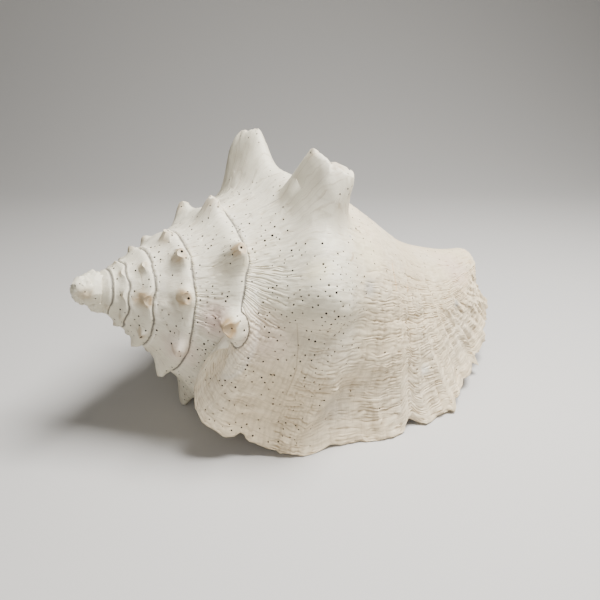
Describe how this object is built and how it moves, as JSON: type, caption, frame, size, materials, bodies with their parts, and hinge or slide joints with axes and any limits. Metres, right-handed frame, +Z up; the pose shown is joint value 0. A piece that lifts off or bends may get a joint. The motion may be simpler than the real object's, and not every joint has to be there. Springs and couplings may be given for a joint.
{
  "type": "queen conch shell",
  "caption": "Large spired sea shell with blunt spines and a broad flared lip, lying on its lip with the curved mouth opening underneath.",
  "frame": {"origin": "middle of the shell's box, on the surface that the shell rests on", "axes": "+X along the longest side of the box, from the apex towards the canal; +Y away from the lip's free edge; +Z up"},
  "size_m": [0.2097, 0.1365, 0.1319],
  "materials": {
    "shell": "matte, chalky, weathered"
  },
  "bodies": {
    "root": {"conch_shell": "shell"}
  },
  "joints": []
}
